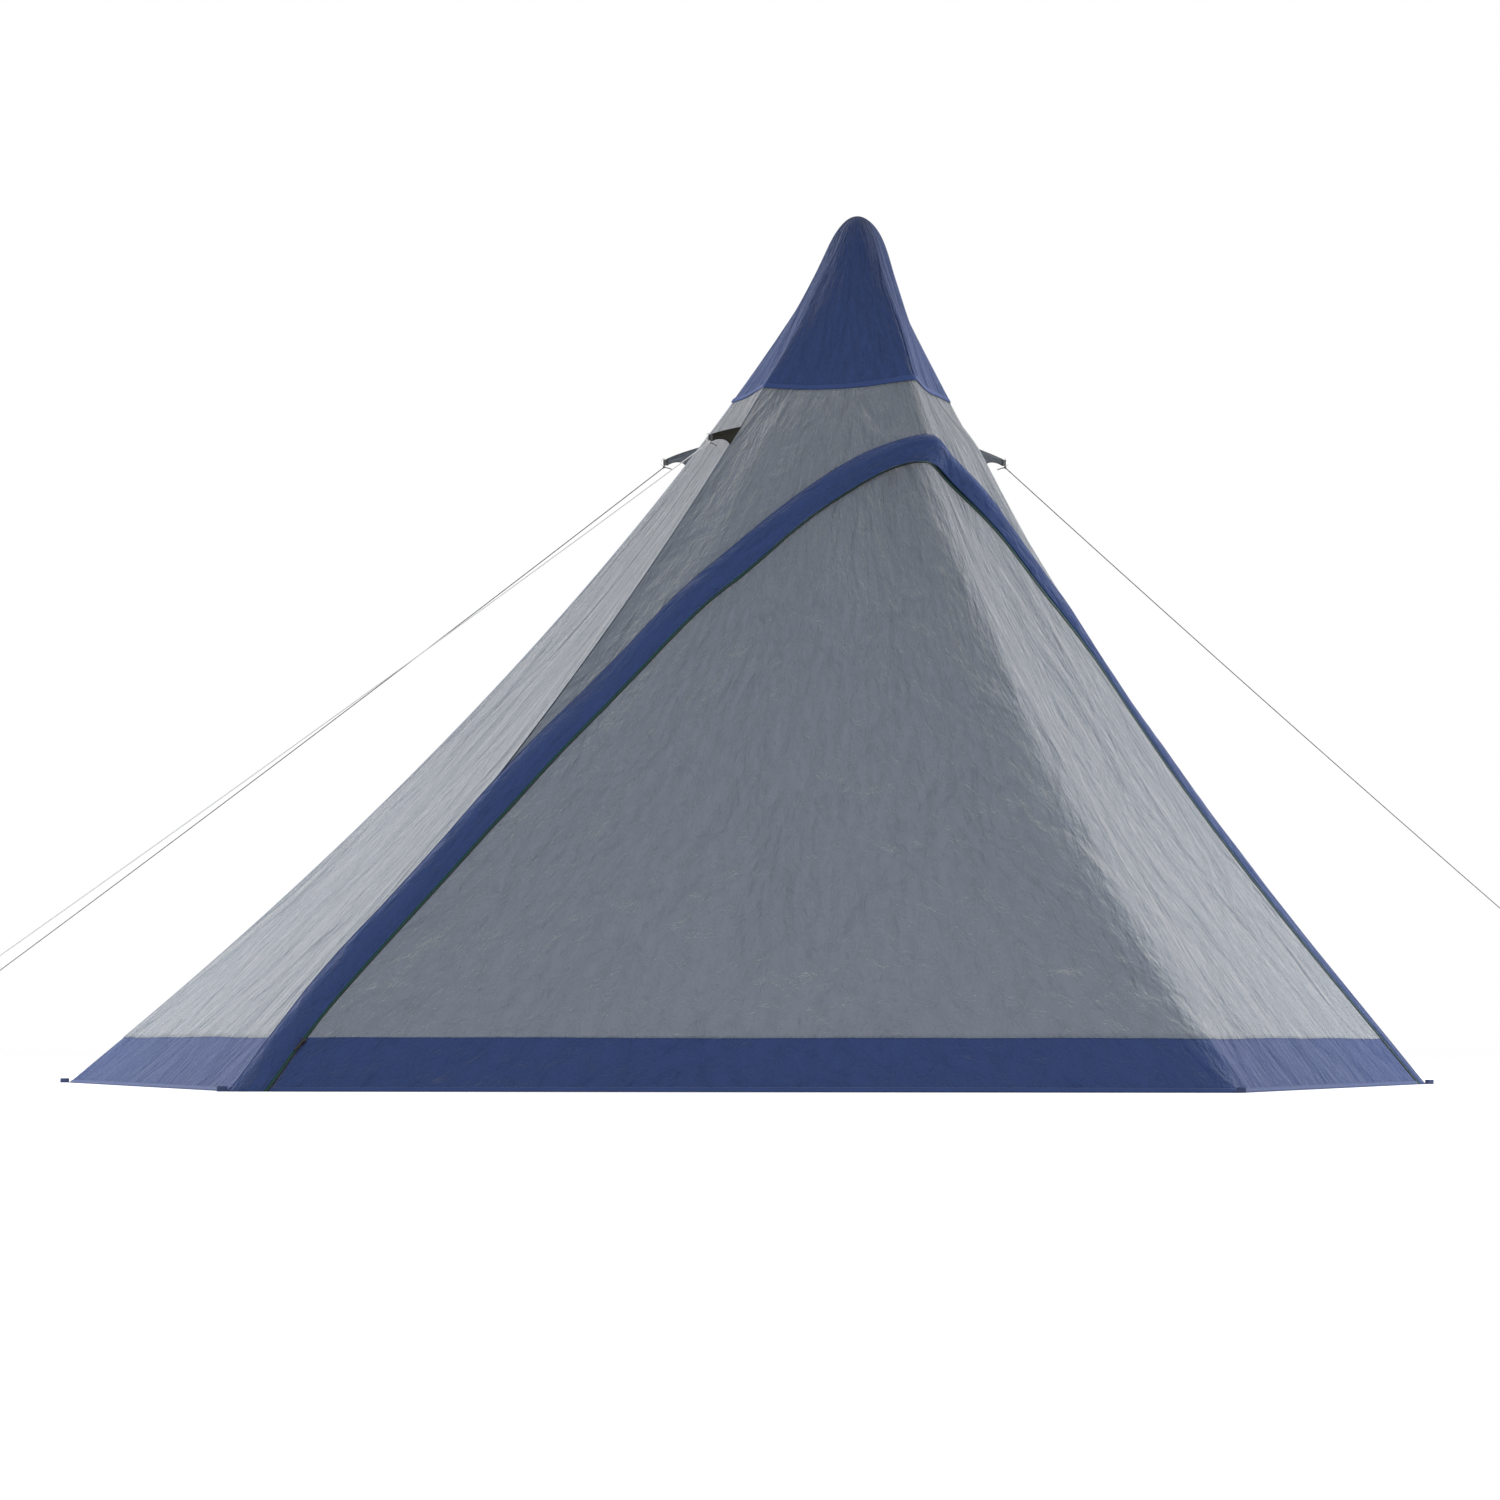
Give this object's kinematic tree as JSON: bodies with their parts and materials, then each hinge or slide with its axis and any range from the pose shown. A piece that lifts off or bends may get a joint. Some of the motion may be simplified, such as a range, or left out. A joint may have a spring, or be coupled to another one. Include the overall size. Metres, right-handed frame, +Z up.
{
  "type": "pyramid tent",
  "caption": "Pentagonal pyramid tent on a centre pole, with a zipped arch door over its front corner, a fabric cap, a ground skirt, guy points with guylines and runners, and peg loops at the hem.",
  "frame": {"origin": "on the ground at the middle of the tent's outline, guylines left out", "axes": "+Z up, +Y from the door to the back, +X to the right of someone who looks at the door from outside"},
  "size_m": [4.8632, 3.867, 2.14],
  "materials": {
    "grey_cloth": "matt woven polyester",
    "blue_cloth": "matt woven polyester",
    "zip_tape": "coil zip on woven tape",
    "tab_cloth": "matt woven polyester",
    "webbing": "woven webbing, bar-tacked",
    "cord": "braided cord",
    "steel_wire": "plated steel",
    "pole_tube": "drawn steel tube",
    "black_plastic": "moulded, satin"
  },
  "bodies": {
    "tent": {"pole_foot": "black_plastic", "pole_lower_section": "pole_tube", "pole_middle_section": "pole_tube", "pole_upper_section": "pole_tube", "pole_top_cap": "black_plastic", "canopy_cap": "blue_cloth", "left_panel": "grey_cloth", "right_panel": "grey_cloth", "back_panel": "grey_cloth", "front_panel": "grey_cloth", "left_skirt": "blue_cloth", "right_skirt": "blue_cloth", "back_skirt": "blue_cloth", "arch_band": "blue_cloth", "zip_facing": "zip_tape", "guy_tab_front_right": "tab_cloth", "guy_tab_back_right": "tab_cloth", "guy_tab_back_left": "tab_cloth", "guy_tab_front_left": "tab_cloth", "guy_webbing_front_right": "webbing", "guy_webbing_back_right": "webbing", "guy_webbing_back_left": "webbing", "guy_webbing_front_left": "webbing", "guyline_front_right": "cord", "guyline_back_left": "cord", "guyline_front_left": "cord", "peg_loop_front_right": "webbing", "peg_loop_back_right": "webbing", "peg_loop_back_left": "webbing", "peg_loop_front_left": "webbing"},
    "door": {"door_panel": "grey_cloth", "door_skirt": "blue_cloth", "door_zip_tape": "zip_tape", "peg_loop_front": "webbing"},
    "zip_slider": {"zip_slider": "steel_wire"},
    "zip_pull": {"zip_pull": "steel_wire"},
    "ring_front_right": {"guy_ring_front_right": "steel_wire"},
    "ring_back_right": {"guy_ring_back_right": "steel_wire"},
    "ring_back_left": {"guy_ring_back_left": "steel_wire"},
    "ring_front_left": {"guy_ring_front_left": "steel_wire"},
    "runner_front_right": {"runner_front_right": "black_plastic"},
    "runner_back_left": {"runner_back_left": "black_plastic"},
    "runner_front_left": {"runner_front_left": "black_plastic"}
  },
  "joints": [
    {"name": "door_swing", "type": "hinge", "parent": "tent", "child": "door", "pos_m": [1.78799, -0.38403, 0], "axis": [0, 0, 1], "range_deg": [0, 95]},
    {"name": "zip_slide", "type": "slide", "parent": "tent", "child": "zip_slider", "axis": [0.7124, 0.042, 0.7005], "range_m": [0, 0.35]},
    {"name": "pull_swing", "type": "hinge", "parent": "zip_slider", "child": "zip_pull", "pos_m": [-1.62227, -0.42157, 0.11373], "axis": [-0.4973, 0.7345, 0.4617], "range_deg": [0, 150]},
    {"name": "ring_swing_front_right", "type": "hinge", "parent": "tent", "child": "ring_front_right", "pos_m": [0.44171, -0.32157, 1.558], "axis": [0, 0, 1], "range_deg": [-20, 20]},
    {"name": "ring_swing_back_right", "type": "hinge", "parent": "tent", "child": "ring_back_right", "pos_m": [0.25586, 0.16639, 1.558], "axis": [0, 0, 1], "range_deg": [-20, 20]},
    {"name": "ring_swing_back_left", "type": "hinge", "parent": "tent", "child": "ring_back_left", "pos_m": [-0.25586, 0.16639, 1.558], "axis": [0, 0, 1], "range_deg": [-20, 20]},
    {"name": "ring_swing_front_left", "type": "hinge", "parent": "tent", "child": "ring_front_left", "pos_m": [-0.45578, -0.32222, 1.558], "axis": [0, 0, 1], "range_deg": [-20, 20]},
    {"name": "runner_slide_front_right", "type": "slide", "parent": "tent", "child": "runner_front_right", "axis": [0.8305, -0.0385, -0.5557], "range_m": [0, 0.058]},
    {"name": "runner_slide_back_left", "type": "slide", "parent": "tent", "child": "runner_back_left", "axis": [-0.4069, 0.7433, -0.531], "range_m": [0, 0.058]},
    {"name": "runner_slide_front_left", "type": "slide", "parent": "tent", "child": "runner_front_left", "axis": [-0.8356, -0.0388, -0.5479], "range_m": [0, 0.058]}
  ]
}
